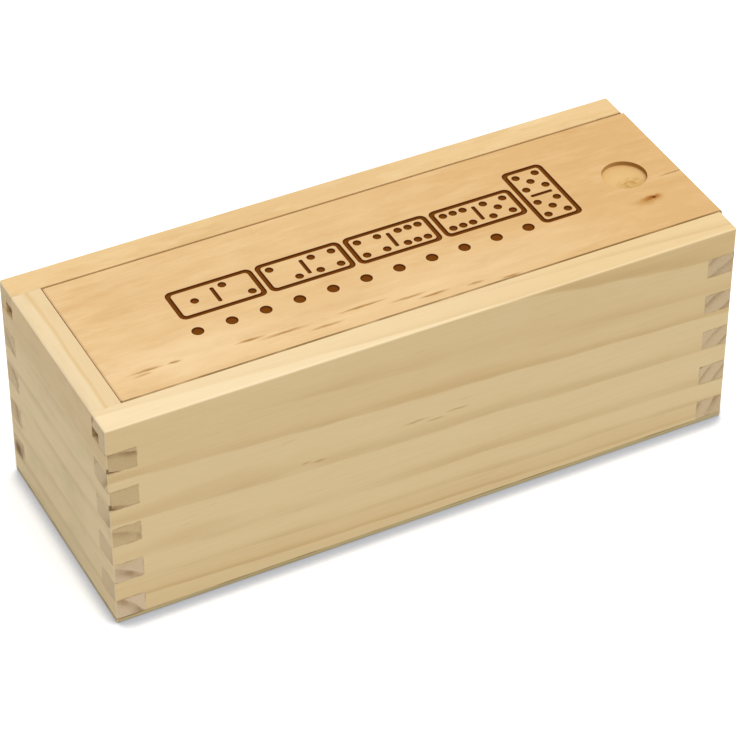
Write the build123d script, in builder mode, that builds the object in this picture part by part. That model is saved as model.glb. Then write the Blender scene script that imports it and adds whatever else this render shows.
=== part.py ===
"""Pine box for a set of dominoes: four finger jointed walls, a thin bottom and a sliding lid.

The two long walls run the full length. The end walls reach through them with five fingers at each
corner, whose end grain shows on the front and back. A groove runs right along both long walls and
across the closed end wall, and the lid's tongues run in it. The open end wall stops below the lid.

Frame: origin at the centre of the underside, +X along the box towards the end where the lid
slides out, +Y to the back, +Z up. Millimetres.
"""

from build123d import *
import os

# Outside of the box
length = 160.0  # walls only, along the lid's travel
width = 60.0
side_thickness = 7.2  # front and back walls
end_thickness = 7.2  # both end walls
bottom_thickness = 1.5  # sheet under the walls
eased_edge = 0.6  # radius sanded on every outside edge after gluing up

# Finger joints, counted down from the top of the walls
finger_count = 5  # end wall fingers at each corner
finger_height = 5.4  # socket for one end wall finger
web_height = 5.4  # long wall finger between two sockets
top_finger_height = 6.9  # long wall finger above the first socket
finger_play = 0.1  # an end wall finger is this much lower than its socket

# Groove for the lid
groove_rise = 0.2  # from the open end wall's top up to the groove's lower side
groove_height = 3.2
groove_depth = 3.5  # into the wall, from its inner face

# Sliding lid
lid_seam = 0.3  # between the lid's face and the walls round it
tongue_play = 0.15  # above and below a tongue in its groove
tongue_end_play = 0.3  # between a tongue's edge and the bottom of the groove
lid_proud = 0.5  # the lid's end stands this far out of the open end
lid_edge = 0.3  # chamfer round the lid's face

# Thumb notch in the lid
notch_diameter = 11.0
notch_depth = 1.3
notch_from_end = 12.7  # its centre, from the open end of the walls
notch_floor_radius = 0.4

# Places that follow from the sizes above
finger_pitch = finger_height + web_height
wall_height = top_finger_height + finger_count * finger_height + (finger_count - 1) * web_height
height = bottom_thickness + wall_height
inner_length = length - 2 * end_thickness
inner_width = width - 2 * side_thickness
open_wall_top = height - top_finger_height

closed_end = -(length + lid_proud) / 2  # outer face of the closed end wall
open_end = closed_end + length  # outer face of the open end wall
middle = closed_end + length / 2  # of the walls, without the lid's proud end

groove_floor = open_wall_top + groove_rise
tongue_reach = groove_depth - tongue_end_play  # a tongue's reach past the wall's inner face
lid_under = groove_floor + tongue_play
tongue_height = groove_height - 2 * tongue_play
lid_end = open_end + lid_proud

socket_tops = [open_wall_top - i * finger_pitch for i in range(finger_count)]


def level_bar(span, low, high):
    """A strip of a wall's elevation, centred on the sketch, from one height to another."""
    with Locations((0, low)):
        Rectangle(span, high - low, align=(Align.CENTER, Align.MIN))


def long_wall_elevation():
    """Field between the end walls, with the fingers that reach past both of them."""
    level_bar(inner_length, bottom_thickness, height)
    level_bar(length, open_wall_top, height)
    for socket_top in socket_tops[1:]:
        level_bar(length, socket_top, socket_top + web_height)


def end_wall_elevation(top):
    """Field between the long walls up to a given height, with five fingers through them."""
    level_bar(inner_width, bottom_thickness, top)
    for socket_top in socket_tops:
        finger_top = socket_top - finger_play / 2
        level_bar(width, finger_top - finger_height + finger_play, finger_top)


# Outside of the glued up box, with its edges sanded round. Each piece is trimmed to it.
with BuildPart() as sanded_outside:
    with BuildSketch() as footprint:
        with Locations((middle, 0)):
            Rectangle(length, width)
    extrude(amount=height)
    fillet(sanded_outside.edges(), radius=eased_edge)

# Front wall: fingers at both ends, and the groove right through from end to end
with BuildPart() as front_wall:
    with BuildSketch(Plane.XZ.offset(width / 2).shift_origin((middle, -width / 2, 0))):
        long_wall_elevation()
    extrude(amount=-side_thickness)
    with BuildSketch(Plane.YZ.offset(closed_end)):
        with Locations((-inner_width / 2, groove_floor)):
            Rectangle(groove_depth, groove_height, align=(Align.MAX, Align.MIN))
    extrude(amount=length, mode=Mode.SUBTRACT)
    add(sanded_outside.part, mode=Mode.INTERSECT)

# Back wall: the same board turned to face it
with BuildPart() as back_wall:
    mirror(front_wall.part, about=Plane.XZ)

# Closed end wall: full height, with the groove across its inner face for the lid's end tongue
with BuildPart() as closed_end_wall:
    with BuildSketch(Plane.YZ.offset(closed_end)):
        end_wall_elevation(height)
    extrude(amount=end_thickness)
    with BuildSketch(Plane.XZ.offset(inner_width / 2)):
        with Locations((closed_end + end_thickness, groove_floor)):
            Rectangle(groove_depth, groove_height, align=(Align.MAX, Align.MIN))
    extrude(amount=-inner_width, mode=Mode.SUBTRACT)
    add(sanded_outside.part, mode=Mode.INTERSECT)

# Open end wall: level with its first fingers, so that the lid slides out over it
with BuildPart() as open_end_wall:
    with BuildSketch(Plane.YZ.offset(open_end)):
        end_wall_elevation(socket_tops[0] - finger_play / 2)
    extrude(amount=-end_thickness)
    add(sanded_outside.part, mode=Mode.INTERSECT)

# Bottom: a thin sheet glued under all four walls, sanded flush
with BuildPart() as bottom_panel:
    with BuildSketch():
        with Locations((middle, 0)):
            Rectangle(length, width)
    extrude(amount=bottom_thickness)
    add(sanded_outside.part, mode=Mode.INTERSECT)

# Lid: a plate whose edges are the tongues, with the raised face between the walls on top of it
with BuildPart() as lid:
    tongue_start = closed_end + end_thickness - tongue_reach
    face_start = closed_end + end_thickness + lid_seam
    with BuildSketch(Plane.XY.offset(lid_under)):
        with Locations((tongue_start, 0)):
            Rectangle(lid_end - tongue_start, inner_width + 2 * tongue_reach, align=(Align.MIN, Align.CENTER))
    extrude(amount=tongue_height)
    with BuildSketch(Plane.XY.offset(lid_under)):
        with Locations((face_start, 0)):
            Rectangle(lid_end - face_start, inner_width - 2 * lid_seam, align=(Align.MIN, Align.CENTER))
    extrude(amount=height - lid_under)
    chamfer(lid.faces().sort_by(Axis.Z)[-1].edges(), length=lid_edge)
    with BuildSketch(Plane.XY.offset(height)):
        with Locations((open_end - notch_from_end, 0)):
            Circle(notch_diameter / 2)
    extrude(amount=-notch_depth, mode=Mode.SUBTRACT)
    notch_floor = lid.faces().filter_by(Axis.Z).sort_by(SortBy.AREA)[0]
    fillet(notch_floor.edges(), radius=notch_floor_radius)

pieces = {
    "front_wall": front_wall,
    "back_wall": back_wall,
    "closed_end_wall": closed_end_wall,
    "open_end_wall": open_end_wall,
    "bottom_panel": bottom_panel,
    "lid": lid,
}

os.makedirs("parts", exist_ok=True)
for name, piece in pieces.items():
    piece.part.label = name
    export_step(piece.part, f"parts/{name}.step")
    size = piece.part.bounding_box().size
    print(f"{name}: {size.X:.2f} x {size.Y:.2f} x {size.Z:.2f} mm, {piece.part.volume / 1000:.2f} cm3")
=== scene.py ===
# %% [markdown]
# # A pine domino box
# The box is four finger jointed boards, a thin bottom and a lid that slides in grooves. Its boards were
# drawn at their real size in CAD, and they arrive here as meshes that stay where they are. This notebook
# gives them their wood, burns a pattern into the lid, and sets up the photographer's table, lamp and
# camera. One unit is a metre, +X runs along the box to the end where the lid slides out, and +Z is up.

# %% Load the boards
import math
import random

import bmesh
import bpy
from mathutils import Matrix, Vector


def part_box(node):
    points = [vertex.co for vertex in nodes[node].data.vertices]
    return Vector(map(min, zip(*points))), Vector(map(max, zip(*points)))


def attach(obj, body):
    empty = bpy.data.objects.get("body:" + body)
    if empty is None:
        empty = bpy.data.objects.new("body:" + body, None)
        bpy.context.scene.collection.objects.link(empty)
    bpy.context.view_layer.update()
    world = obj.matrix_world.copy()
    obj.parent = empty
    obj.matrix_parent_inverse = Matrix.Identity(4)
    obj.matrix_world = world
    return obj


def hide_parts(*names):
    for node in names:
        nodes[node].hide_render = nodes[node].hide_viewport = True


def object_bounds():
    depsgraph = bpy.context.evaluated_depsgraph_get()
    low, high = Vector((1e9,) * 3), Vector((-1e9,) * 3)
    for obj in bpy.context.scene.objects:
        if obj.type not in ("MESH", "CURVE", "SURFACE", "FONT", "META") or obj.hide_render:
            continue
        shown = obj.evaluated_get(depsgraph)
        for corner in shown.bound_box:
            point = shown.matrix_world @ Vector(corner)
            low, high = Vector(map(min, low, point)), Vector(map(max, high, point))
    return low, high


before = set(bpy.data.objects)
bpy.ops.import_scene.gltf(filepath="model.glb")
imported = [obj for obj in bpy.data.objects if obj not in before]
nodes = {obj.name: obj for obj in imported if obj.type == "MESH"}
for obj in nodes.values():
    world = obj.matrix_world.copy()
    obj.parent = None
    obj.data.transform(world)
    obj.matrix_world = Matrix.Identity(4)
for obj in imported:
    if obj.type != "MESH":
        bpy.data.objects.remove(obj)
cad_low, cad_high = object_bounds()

print("boards:", ", ".join(sorted(nodes)))
print("box in mm:", [round(side * 1000, 1) for side in cad_high - cad_low])

# %% [markdown]
# ## Where things are
# The corners of the box and the thickness of its boards are read from the boards themselves, so the pattern
# and the knots land where the real ones are.
# The finishes and the pattern are worked out in millimetres, which are easier to think in.

# %% Corners and thicknesses, in mm
mm = 0.001


def box_mm(node):
    low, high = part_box(node)
    return low / mm, high / mm


front_low, front_high = box_mm("front_wall")
closed_low, closed_high = box_mm("closed_end_wall")
lid_low, lid_high = box_mm("lid")
closed_end, open_end = front_low.x, front_high.x
front, top, foot = front_low.y, front_high.z, front_low.z
side_thickness = front_high.y - front_low.y
end_thickness = closed_high.x - closed_low.x
print("walls", round(side_thickness, 2), "mm thick, their top at", round(top, 2), "mm")

# %% [markdown]
# ## Camera
# The camera stands to the left of the front, well above the box, with a long lens, so that the edges
# hardly converge. Its place was worked out from the seven corners that can be seen.

# %% Set the camera
view_azimuth = math.radians(-27.14)
view_elevation = math.radians(39.39)
view_distance = 0.7579
aim = Vector((-0.0021, -0.0017, 0.0249))
sensor = 36.0
focal_pixels, frame_pixels = 3218.0, 736

backward = Vector((
    math.sin(view_azimuth) * math.cos(view_elevation),
    -math.cos(view_azimuth) * math.cos(view_elevation),
    math.sin(view_elevation),
))
lens = bpy.data.cameras.new("long_lens")
lens.sensor_width = sensor
lens.lens = focal_pixels / frame_pixels * sensor
lens.clip_start, lens.clip_end = 0.01, 20
camera = bpy.data.objects.new("camera", lens)
bpy.context.scene.collection.objects.link(camera)
camera.location = aim + backward * view_distance
camera.rotation_euler = backward.to_track_quat("Z", "Y").to_euler()
bpy.context.scene.camera = camera
print("lens", round(lens.lens, 1), "mm at", [round(c, 3) for c in camera.location])

# %% [markdown]
# ## Writing a finish as sums
# A material in Blender is a graph of nodes. Drawing it by hand is easy to start and hard to read later, so
# here a `Wire` stands for one output of a node, and adding or multiplying wires adds the Math node that
# does it. Places are vectors, which take Vector Math nodes. Colours are only ever blended, with Mix.

# %% Wires and recipes
def is_vector(term):
    return isinstance(term, tuple) or isinstance(term, Wire) and term.socket.type in ("VECTOR", "RGBA")


class Wire:
    """One output of a node, which sums can be written with."""

    def __init__(self, recipe, socket):
        self.recipe, self.socket = recipe, socket

    def work(self, operation, *terms):
        kind = "ShaderNodeVectorMath" if any(map(is_vector, terms)) else "ShaderNodeMath"
        return self.recipe.node(kind, {"operation": operation}, dict(enumerate(terms)))

    def __add__(self, other):
        return self.work("ADD", self, other)

    def __radd__(self, other):
        return self.work("ADD", other, self)

    def __sub__(self, other):
        return self.work("SUBTRACT", self, other)

    def __rsub__(self, other):
        return self.work("SUBTRACT", other, self)

    def __mul__(self, other):
        if is_vector(self) and not is_vector(other):
            return self.recipe.node(
                "ShaderNodeVectorMath", {"operation": "SCALE"}, {0: self, "Scale": other},
            )
        return self.work("MULTIPLY", self, other)

    __rmul__ = __mul__

    def __truediv__(self, other):
        return self.work("DIVIDE", self, other)

    def __pow__(self, power):
        return self.work("POWER", self, power)

    def __abs__(self):
        return self.work("ABSOLUTE", self)

    def larger(self, other):
        return self.work("MAXIMUM", self, other)

    def smaller(self, other):
        return self.work("MINIMUM", self, other)

    def fraction(self):
        return self.work("FRACT", self)

    def whole(self):
        return self.work("FLOOR", self)

    def length(self):
        return self.recipe.node("ShaderNodeVectorMath", {"operation": "LENGTH"}, {0: self}, "Value")

    def parts(self):
        """x, y and z of a vector."""
        return [self.recipe.node("ShaderNodeSeparateXYZ", {}, {0: self}, i) for i in range(3)]

    def rise(self, low, high):
        """0 below low, 1 above high, and a smooth step between."""
        return self.recipe.node(
            "ShaderNodeMapRange", {"interpolation_type": "SMOOTHSTEP"},
            {"Value": self, "From Min": low, "From Max": high},
        )

    def near(self, middle, reach, soft):
        """1 within reach of a middle value, falling to 0 over the soft margin beyond."""
        return 1 - abs(self - middle).rise(reach, reach + soft)


class Recipe:
    """A material, with one method that adds any node to it."""

    def __init__(self, name):
        self.material = bpy.data.materials.new(name)
        self.material.use_nodes = True
        self.tree = self.material.node_tree
        self.tree.nodes.clear()

    def node(self, kind, settings=None, sockets=None, output=0):
        """Adds a node. Settings come first, because some of them change which sockets it has."""
        made = self.tree.nodes.new(kind)
        settings = dict(settings or {})
        stops, stepped = settings.pop("stops", None), settings.pop("stepped", False)
        for name, value in settings.items():
            setattr(made, name, value)
        if stops:
            made.color_ramp.interpolation = "CONSTANT" if stepped else "LINEAR"
            elements = made.color_ramp.elements
            while len(elements) < len(stops):
                elements.new(1.0)
            for element, (position, level) in zip(elements, stops):
                element.position, element.color = position, (level, level, level, 1.0)
        for name, value in (sockets or {}).items():
            if isinstance(value, Wire):
                self.tree.links.new(value.socket, made.inputs[name])
            else:
                made.inputs[name].default_value = value
        return Wire(self, made.outputs[output])

    def noise(self, place, detail=2.0, roughness=0.5, output=0):
        """Cloudy noise about 0, mostly within half a unit either way."""
        found = self.node(
            "ShaderNodeTexNoise", {"noise_dimensions": "3D"},
            {"Vector": place, "Scale": 1.0, "Detail": detail, "Roughness": roughness}, output,
        )
        return found - ((0.5, 0.5, 0.5) if output else 0.5)

    def steps(self, amount, levels, stepped=False):
        """Looks an amount from 0 to 1 up in a list of (position, level)."""
        ramp = self.node("ShaderNodeValToRGB", {"stops": levels, "stepped": stepped}, {"Fac": amount})
        return self.node("ShaderNodeRGBToBW", {}, {"Color": ramp})

    def blend(self, first, second, amount):
        return self.node(
            "ShaderNodeMix", {"data_type": "RGBA", "blend_type": "MIX"}, {0: amount, 6: first, 7: second}, 2
        )

    def vector(self, x, y, z):
        return self.node("ShaderNodeCombineXYZ", {}, {0: x, 1: y, 2: z})

    def finish(self, surface):
        output = self.tree.nodes.new("ShaderNodeOutputMaterial")
        self.tree.links.new(surface.socket, output.inputs["Surface"])
        print(self.material.name, "has", len(self.tree.nodes), "nodes")
        return self.material


def colour(red, green, blue):
    """A colour read from a screen, 0 to 255, as the linear values that shaders want."""
    def linear(level):
        level /= 255
        return level / 12.92 if level <= 0.04045 else ((level + 0.055) / 1.055) ** 2.4
    return (linear(red), linear(green), linear(blue), 1.0)

# %% [markdown]
# ## How pine looks, and why it is solid here
# A board is cut from a log, so its pattern isn't painted on: every face cuts the same growth rings. The
# rings are circles round the pith, the middle of the log. Each year's ring darkens slowly outwards and
# then stops at a sharp line. If the material works from each point's distance to the pith, then long grain,
# the stripes on the edges and the arcs on the end grain all come out of one sum, and they meet at the
# corners as they do in real wood. `Here` stands for the point that is being shaded, and keeps what the
# finishes ask about it again and again: where it is in mm, how far in from the outside, which way it faces.

# %% Where on the board
top_fades = (top - 0.5, top - 0.2)  # round the eased edge


class Here:
    """The point that is being shaded: its place, how its face is turned, and what follows from them."""

    def __init__(self, wood, board):
        self.wood, self.seed = wood, board["seed"]
        self.place = wood.node("ShaderNodeTexCoord", {}, {}, "Object") * (1 / mm)
        self.x, self.y, self.z = self.place.parts()
        self.along, self.across = (self.x, self.y) if board["grain"] == "x" else (self.y, self.x)
        self.from_end = (self.x - closed_end).smaller(open_end - self.x)
        self.from_side = (self.y - front).smaller(-front - self.y)
        self.on_top = self.z.rise(*top_fades)

        self.normal_x, normal_y, normal_z = wood.node("ShaderNodeTexCoord", {}, {}, "Normal").parts()
        facing_x, facing_y, self.facing_z = abs(self.normal_x), abs(normal_y), abs(normal_z)
        self.slanted = 1 - facing_x.larger(facing_y).larger(self.facing_z)
        self.end_grain = (facing_x if board["grain"] == "x" else facing_y).rise(0.75, 0.95)

    def noise(self, scale, detail=2.0, roughness=0.5, shift=0.0):
        """Clouds of noise about 0. The scale says how many fit in a mm, and a shift picks others."""
        return self.wood.noise(self.place * scale + (shift,) * 3, detail, roughness)

    def stretched(self, length, width, detail=2.0, roughness=0.5):
        """Noise whose clouds are so long along the grain and so wide across it, in mm."""
        clouds = self.wood.vector(
            self.along / length + self.seed, self.across / width + self.seed, self.z / width,
        )
        return self.wood.noise(clouds, detail, roughness)

# %% Growth rings
def distance_to_pith(here, board):
    """In mm, with a little waviness. The pith may lean, and then the rings run out of the board."""
    wave, ripple = here.stretched(70, 22, 1.0) * board["wave"], here.stretched(30, 5) * board["ripple"]
    (pith_across, pith_up), (lean_across, lean_up) = board["pith"], board["lean"]
    aside = here.across - (here.along * lean_across + pith_across)
    above = here.z - (here.along * lean_up + pith_up)
    radius = (aside * aside + above * above) ** 0.5 + wave + ripple
    for bend in board["bends"]:
        radius = radius + bend(here)
    return radius


def ring_years(wood, radius, edges):
    """Turns the distance from the pith into years: a whole number at each ring's outer edge."""
    low, high, years = edges[0], edges[-1], len(edges) - 1
    stops = [((edge - low) / (high - low), year / years) for year, edge in enumerate(edges)]
    return wood.steps((radius - low) / (high - low), stops) * years


def ring_tone(wood, years, tones):
    """Some years' wood is darker than others' all through."""
    stops = [(ring / len(tones), tone) for ring, tone in enumerate(tones)]
    return wood.steps((years.whole() + 0.5) / len(tones), stops, stepped=True)


def uneven(first, last, width, seed):
    """Ring edges from first to last, about width apart, since no two summers are alike."""
    chance = random.Random(seed)
    edges = [first]
    while edges[-1] < last:
        edges.append(edges[-1] + width * chance.uniform(0.75, 1.25))
    return {"rings": edges, "tones": [chance.uniform(0.0, 0.5) for _ in edges[1:]]}

# %% [markdown]
# ## Marks that sit at one place
# Knots, resin streaks, glue lines and painted shade aren't spread evenly, so each is a spot or a strip at a
# known place. A spot is an ellipsoid: nearer to its middle than its reach is inside. Adding a little noise
# to the place first makes its outline as ragged as wood makes it.

# %% Spots and tints
def spot(place, middle, reach, soft=0.5):
    """1 in an ellipsoid, fading to 0 at its rim. Middle and reach are (x, y, z) in mm."""
    away = (place - middle) * tuple(1 / side for side in reach)
    return 1 - away.length().rise(1 - soft, 1.0)


def ragged(place, size, amount):
    """The same place, pushed about by noise."""
    return place + place.recipe.noise(place * (1 / size), 3.0, 0.6, "Color") * amount


def dashes(place, squash, spans, half, reach, soft):
    """Spots along the box, each (start, end, y, z). Squashed along X, noise frays them lengthways."""
    mask = 0.0
    for start, end, y, z in spans:
        middle = ((closed_end + (start + end) / 2) * squash, y, z)
        mask = spot(place, middle, ((end - start) * half, *reach), soft).larger(mask)
    return mask


def tint(where, stain, strength=1.0, dent=0.0):
    """A mark that tints, as a stain or as painted shade, wherever where(here) says, and may lower the
    surface.
    """
    def mark(here, shade, height, rough):
        mask = where(here) * strength
        return here.wood.blend(shade, stain, mask), height - mask * dent, rough + mask * 0.08
    return mark


def figure(shift, scale=(0.08, 0.33, 0.33)):
    """Fine fibres that come out lighter or darker when a board is planed."""
    def where(here):
        return (here.noise(scale, 5.0, 0.65, shift) * 4).larger(0.0)
    return where

# %% [markdown]
# ## One recipe for every board
# Over the rings come the things that make planed pine believable close up: fibres, a slow drift of tone,
# the thin brown dashes of resin canals, darker and rougher end grain, and edges that sandpaper has
# rubbed paler. A face's normal tells end grain from long grain: it is end grain where the normal runs with
# the fibres. The same trick finds the rounded edges, where the normal points along no axis.

# %% The pine recipe
def growth(here, board):
    """How far each year has darkened, the sharp line where it stops, and the year's own tone."""
    years = ring_years(here.wood, distance_to_pith(here, board), board["rings"])
    year = years.fraction()
    stopped = 1 - year.rise(0.93, 1.0)
    shown = (here.stretched(45, 10) * 2.4 + 0.7).rise(0.0, 1.0)
    for middle, reach in board["clear"]:
        shown = shown * (1 - spot(here.place, middle, reach, 0.6))
    band = year.rise(0.30, 0.95) * stopped * shown
    broken = (here.stretched(24, 7) * 2.0 + 0.75).rise(0.0, 1.0)
    line = year.rise(0.62, 0.90) * stopped * shown * broken
    return band, line, ring_tone(here.wood, years, board["tones"])


def planed_side(here, board, rings, streak):
    """Long grain: bands, lines and thin brown dashes, with pale and dark fibres over them."""
    wood, (band, line, tone) = here.wood, rings
    drift, mottle = here.stretched(60, 14), here.noise((0.12, 0.2, 0.2), 4.0, 0.55)
    canals = here.stretched(7, 0.42, 1.0).rise(0.25, 0.31)
    tan = tone + band * board["band"] + drift * board["drift"] + mottle * board["mottle"]
    shade = wood.blend(board["early"], board["late"], tan.rise(-0.2, 1.2))
    shade = wood.blend(shade, board["line"], line * board["line_strength"])
    shade = wood.blend(shade, board["line"], canals * board["canals"])
    shade = wood.blend(shade, colour(255, 246, 228), (streak * 0.35).larger(0.0))
    return wood.blend(shade, board["line"], (streak * -0.55).larger(0.0))


def sawn_end(here, board, rings, pores):
    """End grain: rings as dark arcs, speckled with pores. It is olive high up and pink low down."""
    wood, (band, line, tone) = here.wood, rings
    olive = here.z + here.noise(0.16, 1.0, shift=here.seed * 3) * 16
    shade = wood.blend(
        board["end_pink"], board["end_olive"], olive.rise(board["olive_from"], board["olive_from"] + 12),
    )
    flecks = (here.noise(1.2, shift=here.seed) * 6 - 1.0).rise(0.0, 1.0) * 0.4
    speckle = ((pores * 1.6 - 0.2).larger(0.0) + flecks) * board["speckle"]
    dark = line * board["end_lines"] + band * 0.2 + tone * 0.15 + speckle
    shade = wood.blend(shade, board["end_line"], dark.smaller(1.0))
    return wood.blend(shade, colour(236, 220, 196), (pores * -0.8).larger(0.0) * board["speckle"])


def pine(name, board):
    wood = Recipe(name)
    here = Here(wood, board)
    rings = growth(here, board)
    fibre, thread = here.stretched(14, 0.45, 4.0, 0.6), here.stretched(6, 0.16)
    streak = fibre * 0.8 + thread * 0.35
    pores = here.noise(2.2, 3.0, 0.6, here.seed)
    worn = here.slanted.rise(0.02, 0.25)

    side, end = planed_side(here, board, rings, streak), sawn_end(here, board, rings, pores)
    shade = wood.blend(wood.blend(side, end, here.end_grain), board["worn"], worn * 0.45)
    height = fibre * 0.5 + thread * 0.4 + rings[0] * 0.5 + here.end_grain * pores * 1.5
    rough = 0.58 + streak * 0.1 + here.end_grain * 0.14 - worn * 0.06
    for mark in board["marks"]:
        shade, height, rough = mark(here, shade, height, rough)

    bump = wood.node("ShaderNodeBump", {}, {"Strength": 0.35, "Distance": 0.12 * mm, "Height": height})
    return wood.finish(wood.node("ShaderNodeBsdfPrincipled", {}, {
        "Base Color": shade, "Roughness": rough, "Normal": bump, "Specular IOR Level": board["shine"],
    }))


def dress(piece, material):
    """Gives a board its finish in place of the plain one that it came with."""
    piece.data.materials.clear()
    piece.data.materials.append(material)

# %% [markdown]
# ## Glue lines and painted shade in the groove
# Glue squeezed out of the joints catches dust, so each finger has a faint uneven outline. The lid's groove
# takes painted shade, so that the two holes where it leaves the closed end look nearly black.

# %% Glue lines and grooves
finger_top = box_mm("open_end_wall")[1].z
finger_height = (finger_top - foot) / 9
groove_depth, groove_half = 3.5, 1.6
tongue_height = 2.9
groove_middle = lid_low.z + tongue_height / 2
upright_half, upright_soft = 0.06, 0.2  # mm, of the upright lines
print("fingers", round(finger_height, 2), "mm high, groove at", round(groove_middle, 2), "mm")


def glue_lines(here):
    """Thin uneven lines round the fingers, where dust has stuck to squeezed out glue."""
    inside, outside = here.from_end.larger(here.from_side), here.from_end.smaller(here.from_side)
    count = (here.z.smaller(finger_top + 1) - foot) / finger_height
    level = abs((count + 0.5).fraction() - 0.5) * finger_height
    flat = (1 - level.rise(0.10, 0.32)) * (1 - inside.rise(end_thickness, end_thickness + 0.1))
    flat = flat * (1 - here.z.rise(finger_top + 0.2, finger_top + 0.5))

    on_finger = 1 - (count * 0.5).fraction().rise(0.49, 0.51)
    on_side = (here.from_end - here.from_side).rise(0.0, 0.1)
    upright = inside.near(end_thickness, upright_half, upright_soft) * (1 - outside.rise(0.5, 1.0))
    upright = upright * (1 - abs(on_finger - on_side))

    over_joint = 1 - here.from_end.rise(end_thickness - 0.2, end_thickness - 0.1)
    across = here.from_side.near(side_thickness, upright_half, upright_soft) * here.on_top * over_joint
    dusty = (here.noise(0.45) * 3.2 + 0.45).rise(0.0, 1.0)
    return flat.larger(upright).larger(across) * dusty


def groove_shade(here):
    """Painted shade in the groove, but for its last two millimetres at the closed end."""
    groove_floor = side_thickness - groove_depth
    in_groove = here.from_side.rise(groove_floor - 0.2, groove_floor - 0.05)
    past_the_mouth = (here.x - closed_end).rise(0.6, 2.2)
    return in_groove * past_the_mouth * here.z.near(groove_middle, groove_half + 0.1, 0.1)


glue_stain = tint(glue_lines, colour(168, 138, 94), 0.4, 0.6)
# painted shade inside the grooves, which makes the holes at the closed end look nearly black
groove_shade_mark = tint(groove_shade, colour(124, 84, 38), 0.85)

# %% [markdown]
# ## The front and back walls
# These boards came from a fast grown tree: the rings are 5 to 9 mm wide. The pith was just above the top
# edge and behind the front face, and it came nearer towards the open end, so the lines run down to the
# right and new ones appear along the top.

# %% Marks on the front and back
def front_dashes(here):
    """Short resin canals in the middle of the front face."""
    squash = 0.35
    place = ragged(here.place * (squash, 1.0, 1.0), 0.9, 0.7)
    spans = [
        (start, end, front, top - below)
        for start, end, below in (
            (72, 80, 26.4), (78, 84, 27.5), (83, 90, 26.6), (46, 50, 27.9), (49, 54, 28.4),
        )
    ]
    return dashes(place, squash, spans, 0.19, (1.5, 0.45), 0.9)


def tan_patches(here):
    """Where the front face runs along a ring for a while."""
    squash = 0.2
    place = ragged(here.place * (squash, 1.0, 1.0), 3.0, 1.5)
    spans = [
        (start, end, front, top - below)
        for start, end, below in ((2, 44, 25.5), (66, 108, 18.5), (100, 150, 15.0), (4, 34, 37.0))
    ]
    return dashes(place, squash, spans, 0.12, (3.0, 3.0), 0.9)


def joint_nick_shade(here):
    """A dark spot where the front joint meets the top of the closed end: painted shade of a small nick."""
    corner = (closed_end, front + side_thickness - 0.5, top - 1.5)
    return spot(ragged(here.place, 1.0, 0.6), corner, (1.0, 0.7, 1.1), 0.7)


def fresh_top(here):
    """The top was sanded last and is still pale, most of all at the closed end."""
    return here.on_top * (1 - here.x.rise(-60, 75))


def tan_middle(here):
    """The back wall's top is browner halfway along."""
    return here.on_top * here.x.near(-15.0, 15.0, 40.0)


def finger_knot(here):
    """A small dark knot in the end of the back wall's lowest finger."""
    return spot(ragged(here.place, 2.0, 1.2), (closed_end, 26.7, 8.9), (3.0, 2.9, 2.9), 0.7)

# %% Front and back wall
front_wall = {
    "grain": "x", "pith": (-0.7, 65.6), "lean": (-0.0563, 0.0), "seed": 3.1,
    "rings": [20.0, 24.5, 29.7, 35.8, 41.1, 49.9, 59.2, 64.4, 68.5, 75.5],
    "tones": [0.75, 0.85, 0.35, 0.4, 0.05, 0.0, 0.0, 0.45, 0.3],
    "clear": [((closed_end + 18, front, top - 4.5), (48, 20, 8.0))],
    "wave": 1.6, "ripple": 1.4, "bends": [], "band": 0.35, "line_strength": 0.36,
    "drift": 0.5, "canals": 0.3, "mottle": 0.3, "shine": 0.35,
    "early": colour(242, 217, 169), "late": colour(229, 198, 144), "line": colour(204, 170, 116),
    "olive_from": 90.0, "speckle": 1.0, "end_lines": 0.5,
    "end_olive": colour(212, 186, 138), "end_pink": colour(226, 203, 164),
    "end_line": colour(166, 132, 92), "worn": colour(250, 230, 190),
    "marks": [
        tint(front_dashes, colour(196, 156, 102), 0.6), tint(fresh_top, colour(255, 240, 212), 0.2),
        # painted shade of a small nick where the joint meets the top
        tint(tan_patches, colour(220, 184, 128), 0.32), tint(joint_nick_shade, colour(140, 114, 62), 0.7),
        # glue lines, and painted shade inside the groove
        glue_stain, groove_shade_mark,
    ],
}
dress(nodes["front_wall"], pine("front_pine", front_wall))
back_wall = dict(front_wall, pith=(47.0, 16.0), lean=(0.03, 0.02), seed=11.7, clear=[])
back_wall.update(
    early=colour(233, 198, 142), late=colour(224, 185, 126), **uneven(2.0, 90.0, 7.5, 4),
    marks=[
        tint(tan_middle, colour(214, 172, 114), 0.35), tint(finger_knot, colour(112, 82, 40), 0.85, 0.5),
        tint(figure(1.0), colour(200, 158, 98), 0.35), tint(figure(5.0), colour(252, 226, 178), 0.35),
        # glue lines, and painted shade inside the groove
        glue_stain, groove_shade_mark,
    ],
)
dress(nodes["back_wall"], pine("back_pine", back_wall))

# %% [markdown]
# ## The end walls
# Their grain runs across the box, so their fingers show end grain on the front and back, with the rings
# crossing each finger at a slant. The closed end's face is blotchy, olive in places and pink in others,
# and two of its rings come up along the top.

# %% Marks on the end walls
def finger_side(number, upper=False):
    """The height of a finger's lower or upper side. Fingers are numbered from the top."""
    return finger_top - (2 * number - (2 if upper else 1)) * finger_height


splinters = {
    "closed_end_wall": [
        ((closed_end, front, finger_side(1)), (5.0, 1.0, 1.2)),
        ((closed_end, front, finger_side(2)), (3.2, 0.9, 1.5)),
    ],
    "open_end_wall": [
        ((open_end, front, finger_side(1, True)), (-2.2, 0.7, -1.4)),
        ((open_end - end_thickness, front, finger_side(4, True)), (2.6, 0.8, -1.6)),
    ],
}


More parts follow.
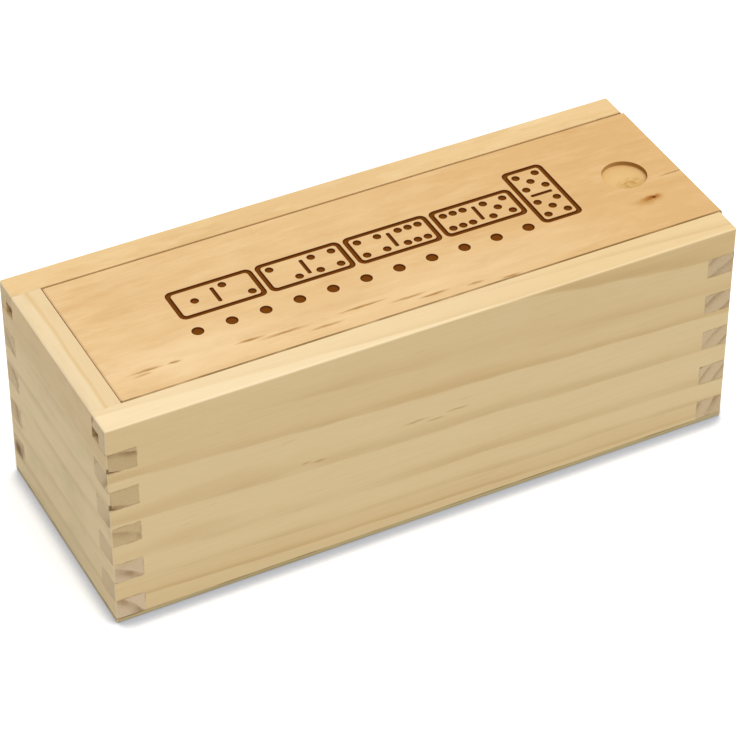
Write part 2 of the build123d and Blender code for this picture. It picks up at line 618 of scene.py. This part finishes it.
def splinter_shade(here):
    """Painted shade in the splinters' hollows, whose faces run along no axis, so they look darker than the
    sawn wood.
    """
    mask = 0.0
    for corner, size in splinters["closed_end_wall"] + splinters["open_end_wall"]:
        mask = spot(here.place, corner, tuple(abs(side) * 1.1 + 0.3 for side in size), 0.2) + mask
    return here.slanted.rise(0.01, 0.05) * mask.smaller(1.0)


def blotches(shift):
    """Patches on the closed end's outer face, one or two centimetres wide."""
    def where(here):
        clouds = here.noise((0.05, 0.06, 0.11), 3.0, shift=shift) * 5
        return clouds.rise(0.1, 1.1) * (here.normal_x * -1).rise(0.5, 0.9)
    return where


def strip_rings(here):
    """Along the top of the closed end, the inner half is yellower, behind a thin line."""
    from_end = here.x - closed_end + here.noise((0.3, 0.06, 0.3)) * 1.6
    bands = from_end.near(3.7, 0.1, 0.7) * 0.6 + from_end.rise(3.2, 4.4) * 0.4 + 0.05
    return here.on_top * bands


def strip_top(here):
    """The rest of that strip was sanded pale."""
    return here.on_top

# %% End walls
cross_figure = figure(0.0, scale=(0.33, 0.08, 0.33))
closed_end_wall = dict(
    front_wall, grain="y", pith=(closed_end - 8.9, -7.7), lean=(0.0, 0.0), seed=6.4, wave=0.5, ripple=0.5,
    rings=[4.0, 11.0, 18.4, 26.3, 36.8, 44.3, 53.7, 59.2, 65.9, 72.0], clear=[],
    tones=[0.1, 0.1, 0.1, 0.15, 0.15, 0.2, 0.9, 1.0, 0.8],
    early=colour(243, 221, 176), late=colour(229, 201, 153), line=colour(205, 177, 130),
    olive_from=14.0, end_lines=0.85, end_olive=colour(218, 192, 146), end_pink=colour(231, 207, 177),
    marks=[
        tint(blotches(2.0), colour(214, 204, 152), 0.45), tint(blotches(9.0), colour(238, 208, 174), 0.4),
        tint(strip_top, colour(255, 240, 212), 0.2), tint(cross_figure, colour(200, 172, 122), 0.3),
        # painted shade of a small nick where the front joint meets the top
        tint(strip_rings, colour(214, 178, 116), 0.75), tint(joint_nick_shade, colour(140, 114, 62), 0.7),
        # glue lines, and painted shade in the splinters' hollows
        glue_stain, tint(splinter_shade, colour(120, 92, 50), 0.85),
    ],
)
closed_end_pine = pine("closed_end_pine", closed_end_wall)
open_end_wall = dict(closed_end_wall, pith=(open_end + 32.0, -12.0), lean=(-0.02, 0.03), seed=8.9)
open_end_wall.update(
    # painted shade in the splinters' hollows
    marks=[glue_stain, tint(splinter_shade, colour(132, 104, 66), 0.7)], olive_from=90.0, speckle=2.0,
    end_lines=0.45, wave=1.6, ripple=1.4, end_pink=colour(224, 199, 161), end_line=colour(152, 118, 80),
    rings=[30.0, 35.0, 40.4, 44.5, 48.2, 50.9, 54.6, 59.5, 64.0, 70.2, 74.0, 80.0],
    tones=[0.1, 0.7, 0.1, 0.0, 0.0, 0.1, 0.2, 0.3, 1.0, 0.7, 0.2],
)
open_end_pine = pine("open_end_pine", open_end_wall)

# %% [markdown]
# ## The bottom sheet
# A thin sheet is glued under the walls. Only its edge shows, duller than the walls, with a line of painted
# shade between them that comes and goes.

# %% Bottom sheet
sheet_top = box_mm("bottom_panel")[1].z


def foot_seam_shade(here):
    """Painted shade along the seam under the walls, only on the outside."""
    shown = (here.noise(0.08) * 4.0 + 0.3).rise(0.0, 1.0)
    outside = 1 - here.from_end.smaller(here.from_side).rise(0.2, 0.6)
    return here.z.rise(sheet_top - 0.5, sheet_top - 0.1) * outside * shown


bottom_sheet = dict(
    front_wall, pith=(4.0, -40.0), lean=(0.01, 0.0), seed=14.2,
    early=colour(206, 188, 142), late=colour(194, 174, 126), line=colour(156, 134, 90),
    end_olive=colour(200, 182, 138), end_pink=colour(206, 186, 148), end_line=colour(150, 124, 84),
    # painted shade along the seam under the walls
    marks=[tint(foot_seam_shade, colour(132, 112, 68), 0.8, 0.8)],
)
bottom_sheet.update(uneven(30.0, 60.0, 4.0, 3))
dress(nodes["bottom_panel"], pine("bottom_pine", bottom_sheet))

# %% [markdown]
# ## The lid's pattern
# The maker burns a pattern into the lid with a laser. This one is a short line of play: four
# domino tiles end to end with a double across the end, and a row of small pips under it. Each stroke
# is cut into the lid as a shallow trench with sloping sides, so that light catches it as it does the real
# thing. A trench is a solid with a flat floor, wider at the top, and a boolean takes it out of the lid.

# %% Cutters for the pattern
burn_depth = 0.35
slope = 0.28  # mm that a trench's floor is in from its rim
over = 0.1  # mm that a cutter starts above the face
trenches = bmesh.new()


def outline(corners, grow):
    """A closed loop of points, moved outwards by grow. Corners run counterclockwise."""
    moved = []
    for i, corner in enumerate(corners):
        before, after = corners[i - 1], corners[(i + 1) % len(corners)]
        tangent = (after - before).normalized()
        moved.append(corner + Vector((tangent.y, -tangent.x)) * grow)
    return moved


def trench(outer, inner=None):
    """Adds a cutter between two outlines, or inside one, sloping in towards its floor."""
    loops = []
    for z, grow in ((top + over, slope * 0.3), (top - burn_depth, -slope)):
        for corners, side in ((outer, 1), (inner, -1)):
            if corners:
                loops.append([trenches.verts.new((*corner, z)) for corner in outline(corners, grow * side)])
    if inner:
        top_outer, top_inner, floor_outer, floor_inner = loops
        rims = [
            (top_outer, floor_outer), (floor_outer, floor_inner), (floor_inner, top_inner),
            (top_inner, top_outer),
        ]
    else:
        rims = [tuple(loops)]
        trenches.faces.new(loops[0])
        trenches.faces.new(loops[1])
    for first, second in rims:
        for i in range(len(first)):
            trenches.faces.new((first[i - 1], first[i], second[i], second[i - 1]))


def circle(middle, radius, points=20):
    """A round pip's outline."""
    turns = [2 * math.pi * i / points for i in range(points)]
    return [middle + Vector((math.cos(turn), math.sin(turn))) * radius for turn in turns]


def rounded(middle, size, radius, points=5):
    """A rectangle with round corners."""
    corners = []
    for quarter, (sx, sy) in enumerate(((1, 1), (-1, 1), (-1, -1), (1, -1))):
        hub = middle + Vector((sx * (size[0] / 2 - radius), sy * (size[1] / 2 - radius)))
        for i in range(points):
            turn = math.pi / 2 * (quarter + i / (points - 1))
            corners.append(hub + Vector((math.cos(turn), math.sin(turn))) * radius)
    return corners

# %% Lay out the tiles
tile_long, tile_short, tile_corner, tile_gap = 21.8, 10.9, 1.7, 0.7
stroke = 1.3
bar_width, bar_corner = stroke * 0.8, 0.35
pip_radius, pip_spacing = 1.05, 2.6
pips_in = 0.15  # mm that each half's pips are set in towards the bar
row_pips, row_radius, row_spacing, row_below = 11, 1.5, 8.45, 10.2
pips = {
    1: [(0, 0)],
    2: [(-1, 1), (1, -1)],
    3: [(-1, 1), (0, 0), (1, -1)],
    4: [(-1, 1), (1, 1), (-1, -1), (1, -1)],
    5: [(-1, 1), (1, 1), (0, 0), (-1, -1), (1, -1)],
    6: [(-1, 1), (0, 1), (1, 1), (-1, -1), (0, -1), (1, -1)],
}


def tile(middle, first, second, upright=False):
    """A domino seen from above, along X or across it, with its two halves' pips."""
    size = (tile_short, tile_long) if upright else (tile_long, tile_short)
    inner = tuple(side - 2 * stroke for side in size)
    trench(rounded(middle, size, tile_corner), rounded(middle, inner, tile_corner - stroke * 0.7))
    bar = (tile_short - 4 * stroke, bar_width)
    trench(rounded(middle, bar if upright else bar[::-1], bar_corner, 4))
    for side, count in ((-1, first), (1, second)):
        half = Vector((0, side) if upright else (side, 0)) * (tile_long / 4 - pips_in)
        for column, row in pips[count]:
            place = Vector((row, column) if upright else (column, row)) * pip_spacing
            trench(circle(middle + half + place, pip_radius))


pattern_start, line_of_play = closed_end + 30.8, front + 32.6
tile_step = tile_long + tile_gap
for i, (first, second) in enumerate(((1, 2), (2, 4), (4, 6), (6, 5))):
    tile(Vector((pattern_start + tile_long / 2 + i * tile_step, line_of_play)), first, second)
double_x = pattern_start + 4 * tile_step + tile_short / 2
tile(Vector((double_x, line_of_play)), 5, 5, upright=True)
for i in range(row_pips):
    trench(circle(
        Vector((pattern_start + tile_corner + i * row_spacing, line_of_play - row_below)), row_radius,
    ))
pattern_low, pattern_high = pattern_start - 0.5, double_x + tile_short / 2 + 0.5
print("pattern from", round(pattern_low - closed_end, 1), "to", round(pattern_high - closed_end, 1), "mm")

# %% [markdown]
# The boolean needs closed solids with their faces turned outwards, which `recalc_face_normals` sees to.
# The lid's own mesh stays as the CAD made it, and the piece that replaces it rides on the lid's body.

# %% Cut the pattern
crisp = math.radians(35)  # edges that turn by more than this stay sharp


def mesh_piece(name, shape):
    """An object from a bmesh in mm."""
    bmesh.ops.recalc_face_normals(shape, faces=shape.faces)
    bmesh.ops.scale(shape, vec=(mm, mm, mm), verts=shape.verts)
    mesh = bpy.data.meshes.new(name)
    shape.to_mesh(mesh)
    shape.free()
    piece = bpy.data.objects.new(name, mesh)
    bpy.context.scene.collection.objects.link(piece)
    return piece


def welded(name, mesh):
    """A copy of a board whose faces share their corners, which a boolean needs."""
    shape = bmesh.new()
    shape.from_mesh(mesh)
    bmesh.ops.remove_doubles(shape, verts=shape.verts, dist=1e-6)
    bmesh.ops.scale(shape, vec=(1 / mm, 1 / mm, 1 / mm), verts=shape.verts)
    return mesh_piece(name, shape)


def carved(name, node, cutter):
    """A copy of a board with the cutter taken out of it. Corners stay crisp and curves smooth."""
    piece = welded(name, nodes[node].data)
    cut = piece.modifiers.new("carve", "BOOLEAN")
    cut.operation, cut.solver, cut.object = "DIFFERENCE", "EXACT", cutter
    bpy.context.view_layer.update()
    done = bpy.data.meshes.new_from_object(piece.evaluated_get(bpy.context.evaluated_depsgraph_get()))
    piece.modifiers.clear()
    piece.data = done
    piece.modifiers.new("even_light", "WEIGHTED_NORMAL").keep_sharp = True
    bpy.data.objects.remove(cutter)
    shape = bmesh.new()
    shape.from_mesh(done)
    for edge in shape.edges:
        edge.smooth = len(edge.link_faces) == 2 and edge.calc_face_angle(0) < crisp
    for face in shape.faces:
        face.smooth = True
    shape.to_mesh(done)
    shape.free()
    print(name, "has", len(done.polygons), "faces")
    return piece


lid = carved("burned_lid", "lid", mesh_piece("trenches", trenches))
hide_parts("lid")
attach(lid, "lid")

# %% [markdown]
# ## Splinters
# Sawing the fingers broke a few splinters from their corners. Each cutter is a wedge with three edges from
# one corner: along the finger, into the wood, and up or down.

# %% Break out the splinters
outset = 0.15  # mm that a wedge's own corner lies outside the board's


def broken(name, node):
    """A copy of an end wall without its splinters."""
    wedges = bmesh.new()
    for corner, size in splinters[node]:
        start = Vector(corner) - Vector([math.copysign(outset, side) for side in size])
        points = [wedges.verts.new(start)]
        for axis, side in enumerate(size):
            tip = start.copy()
            tip[axis] += side
            points.append(wedges.verts.new(tip))
        for left_out in range(4):
            wedges.faces.new([point for i, point in enumerate(points) if i != left_out])
    piece = carved(name, node, mesh_piece("wedges", wedges))
    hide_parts(node)
    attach(piece, "box")
    return piece


dress(broken("closed_end_board", "closed_end_wall"), closed_end_pine)
dress(broken("open_end_board", "open_end_wall"), open_end_pine)

# %% [markdown]
# ## The lid's wood
# The lid is a board from another tree, warmer and quieter, with hardly a ring to see, and it darkens
# towards the open end. Brown resin streaks lie along its front edge, and there is a small knot and a
# short crack near the thumb notch. Everything cut below its face inside the pattern is charred. Painted
# shade darkens the edges along the walls, the notch's side and the tongues' ends.

# %% Marks on the lid
notch_x, notch_radius = open_end - 12.7, 5.5
notch_bottom = top - 1.3
tongue_reach = 3.5  # from the lid's face out to a tongue's edge
face_edge = lid_high.y - tongue_reach


def on_lid(x, y):
    """A place on the lid's face, in mm from the closed end and from the front."""
    return (closed_end + x, front + y, top)


def patch(x, y, reach, soft, fray):
    """A frayed spot on the lid. The fray is the size of its noise and how far that pushes."""
    def where(here):
        return spot(ragged(here.place, *fray), on_lid(x, y), reach, soft)
    return where


pale_front = patch(92.0, 14.0, (62.0, 13.0, 8.0), 0.9, fray=(12.0, 6.0))
pale_left = patch(28.0, 16.5, (36.0, 9.5, 8.0), 0.9, fray=(10.0, 5.0))
knot_halo = patch(146.9, 18.7, (5.8, 2.1, 4.0), 0.9, fray=(2.0, 2.0))
knot_heart = patch(148.6, 19.3, (3.6, 1.3, 4.0), 0.8, fray=(1.2, 1.6))
knot_eye = patch(149.0, 19.3, (0.85, 0.55, 4.0), 0.7, fray=(1.0, 0.6))
crack = patch(158.0, 25.8, (4.8, 0.40, 3.0), 0.8, fray=(2.0, 0.5))


def round_knot(here):
    """The rings bend round the knot."""
    return spot(here.place, on_lid(149.0, 18.0), (26.0, 12.0, 20.0), 1.0) * 6.0


def resin_streaks(here):
    """The brown streaks along the front, each (start, end, distance from the front)."""
    squash = 0.35
    place = ragged(here.place * (squash, 1.0, 1.0), 0.9, 0.6)
    spans = [
        (start, end, front + y, top)
        for start, end, y in (
            (12.5, 20.5, 15.0), (13.0, 18.0, 13.8), (21.5, 25.0, 14.9), (38.0, 45.0, 14.2),
            (43.5, 55.5, 13.1), (55.0, 63.0, 11.0), (63.0, 75.0, 13.6), (75.5, 84.5, 11.7),
            (82.0, 89.0, 10.2), (94.0, 98.5, 9.5), (101.5, 107.0, 8.2),
        )
    ]
    threads = here.wood.noise(place * (0.25, 2.4, 1.0)).rise(-0.30, 0.08)
    return dashes(place, squash, spans, 0.24, (0.62, 3.0), 0.85) * threads


def sunned(here):
    """The end that was in the light is a deeper orange."""
    return (here.x + here.noise(0.05) * 50).rise(-60.0, 75.0)

# %% The thumb notch
def from_notch(here):
    """How far the point is from the notch's axis."""
    return ((here.place - (notch_x, 0.0, top)) * (1.0, 1.0, 0.0)).length()


def notch_floor(here):
    """The notch's floor hasn't been handled as much and is paler."""
    low = 1 - here.z.rise(notch_bottom + 0.1, notch_bottom + 0.3)
    return low * (1 - from_notch(here).rise(notch_radius - 1.0, notch_radius))


def pressed_floor(here):
    """Torn fibres on the floor of the thumb notch, towards the front."""
    low = 1 - here.z.rise(notch_bottom + 0.3, notch_bottom + 0.5)
    there = spot(here.place, (notch_x + 0.6, -2.4, notch_bottom), (5.0, 3.4, 1.0), 0.8)
    torn = (here.noise((0.7, 1.3, 1.0), 4.0, 0.7) * 4.0).rise(-0.9, 1.1)
    return low * there * torn


def notch_side_rub_and_shade(here):
    """The cutter rubbed the notch's side brown, and painted shade darkens it more towards the open end."""
    steep = 1 - here.facing_z.rise(0.2, 0.95)
    deeper_shade = here.x.rise(notch_x - 6, notch_x + 5) * 0.65 + 0.35
    return steep * deeper_shade * (1 - from_notch(here).rise(notch_radius + 0.2, notch_radius + 0.6))

# %% Char and painted seam shade
def char(here):
    """Everything that was cut below the face, from one end of the pattern to the other."""
    below = top - here.z
    cut = below.rise(0.03, 0.09) * (1 - below.rise(0.6, 0.7))
    inside = 1 - abs(here.y).rise(face_edge - 1.5, face_edge - 1.4)
    middle, half = (pattern_low + pattern_high) / 2, (pattern_high - pattern_low) / 2
    return cut * inside * here.x.near(middle, half + 4, 0.1)


def char_sides(here):
    """The sides of a burned stroke are darker than its floor."""
    return char(here) * (1 - here.facing_z.rise(0.90, 0.99))


def seam_shade(here):
    """Painted shade in the seams next to the long walls, darkest at the front."""
    over_tongue = here.z - lid_low.z - tongue_height
    step = (1 - here.facing_z.rise(0.72, 0.9)) * over_tongue.rise(0.1, 0.5)
    front_seam = 1 - here.y.rise(-face_edge + 0.5, -face_edge + 0.7)
    back_seam = here.y.rise(face_edge - 0.7, face_edge - 0.5)
    patchy = (here.noise((0.08, 0.3, 0.3), 3.0) * 2.4 + 0.8).rise(0.0, 1.0)
    return step * front_seam.larger(back_seam * 0.3) * patchy


def tongue_end_shade(here):
    """Painted shade on the tongues' ends, which show in the holes where the grooves leave the box."""
    at_end = 1 - here.x.rise(lid_low.x + 0.3, lid_low.x + 0.6)
    return at_end * abs(here.y).rise(face_edge - 0.1, face_edge + 1.1)

# %% Lid
lid_board = dict(
    front_wall, pith=(14.0, -14.0), lean=(0.05, 0.03), seed=21.3, clear=[], band=0.2, line_strength=0.15,
    early=colour(231, 195, 143), late=colour(219, 179, 123), line=colour(190, 142, 86), mottle=0.8,
    shine=0.06, end_lines=0.9, speckle=1.6,
    end_olive=colour(206, 164, 108), end_pink=colour(214, 172, 122), end_line=colour(150, 104, 58),
    worn=colour(236, 206, 160), bends=[round_knot],
    marks=[
        tint(sunned, colour(216, 173, 115), 0.8), tint(pale_front, colour(240, 210, 164), 0.4),
        tint(pale_left, colour(243, 213, 168), 0.6),
        tint(figure(3.0), colour(196, 148, 86), 0.26), tint(figure(7.0), colour(248, 220, 172), 0.26),
        tint(resin_streaks, colour(170, 122, 58), 0.9, 0.5),
        tint(knot_halo, colour(188, 138, 66), 0.7), tint(knot_heart, colour(162, 96, 30), 0.9, 0.6),
        tint(knot_eye, colour(98, 50, 6), 0.95, 1.0), tint(crack, colour(146, 106, 58), 0.65, 1.0),
        tint(notch_floor, colour(228, 192, 128), 0.6), tint(pressed_floor, colour(176, 126, 50), 0.95, 1.0),
        # a rubbed brown with painted shade over it on the notch's side
        tint(notch_side_rub_and_shade, colour(146, 98, 24), 0.85),
        # painted shade in the seams along the walls
        tint(seam_shade, colour(128, 94, 48), 0.8),
        # painted shade on the tongues' ends
        tint(tongue_end_shade, colour(98, 66, 30), 0.9),
        tint(char, colour(114, 60, 4)), tint(char_sides, colour(84, 38, 2)),
    ],
)
lid_board.update(uneven(42.0, 90.0, 3.6, 9))
dress(lid, pine("lid_board_pine", lid_board))

# %% [markdown]
# ## Table and light
# A product shot on white: the table must read as pure white round the box and still hold its soft shadow.
# A lamp strong enough for that would bleach the pine. Instead the table is painted white only for rays
# that come from the camera, and it is a mid grey to the light that bounces up from it, so that the sides
# of the box stay darker than its top. Ambient occlusion finds the crevice along the foot, and the paint
# is darker there, which makes the thin shadow that a box has where it touches the table.

# %% The table
table_size = 6.0
bounce_grey = (0.50, 0.475, 0.41, 1.0)
white = (1.0, 1.0, 1.0, 1.0)
crevice_reach = 5.5 * mm
towards_back = (0.1, 0.5, 0.86)  # leans the occlusion, so that the front's shadow stays narrow


def table_paint():
    paint = Recipe("table_paint")
    seen = paint.node("ShaderNodeLightPath", {}, {}, "Is Camera Ray")
    glossy = paint.node("ShaderNodeLightPath", {}, {}, "Is Glossy Ray")
    through = paint.node("ShaderNodeLightPath", {}, {}, "Is Transmission Ray")
    grey = paint.node("ShaderNodeBsdfDiffuse", {}, {"Color": bounce_grey})
    crevice = paint.node(
        "ShaderNodeAmbientOcclusion", {"samples": 8},
        {"Distance": crevice_reach, "Normal": paint.vector(*towards_back)}, "AO",
    )
    contact = paint.blend(colour(118, 123, 134), colour(250, 250, 250), crevice.rise(0.40, 0.88))
    shaded = paint.node("ShaderNodeBsdfDiffuse", {}, {"Color": contact})
    glow = paint.node("ShaderNodeEmission", {}, {"Color": white, "Strength": 0.30})
    bright = paint.node("ShaderNodeAddShader", {}, {0: shaded, 1: glow})
    shown = (seen + glossy + through).smaller(1.0)
    return paint.finish(paint.node("ShaderNodeMixShader", {}, {0: shown, 1: grey, 2: bright}))


bpy.ops.mesh.primitive_plane_add(size=table_size, location=(0, 0, cad_low.z))
table = bpy.context.object
table.name = "table"
table.data.materials.append(table_paint())

# %% Sky and lamp
world = bpy.data.worlds.new("studio")
bpy.context.scene.world = world
world.use_nodes = True
sky = world.node_tree.nodes["Background"]
sky.inputs["Color"].default_value = white
sky.inputs["Strength"].default_value = 0.62

sun = bpy.data.lights.new("softbox", "SUN")
sun.energy = 1.6
sun.angle = math.radians(45)
lamp = bpy.data.objects.new("softbox", sun)
bpy.context.scene.collection.objects.link(lamp)
towards_lamp = Vector((0.10, -0.25, 1.0))
lamp.rotation_euler = towards_lamp.to_track_quat("Z", "Y").to_euler()
print("sky", sky.inputs["Strength"].default_value, "and lamp", sun.energy)

# %% [markdown]
# ## Colours on screen
# The plain Standard view shows each colour about as it was written, which is what a product shot wants.

# %% Colour management
bpy.context.scene.view_settings.view_transform = "Standard"
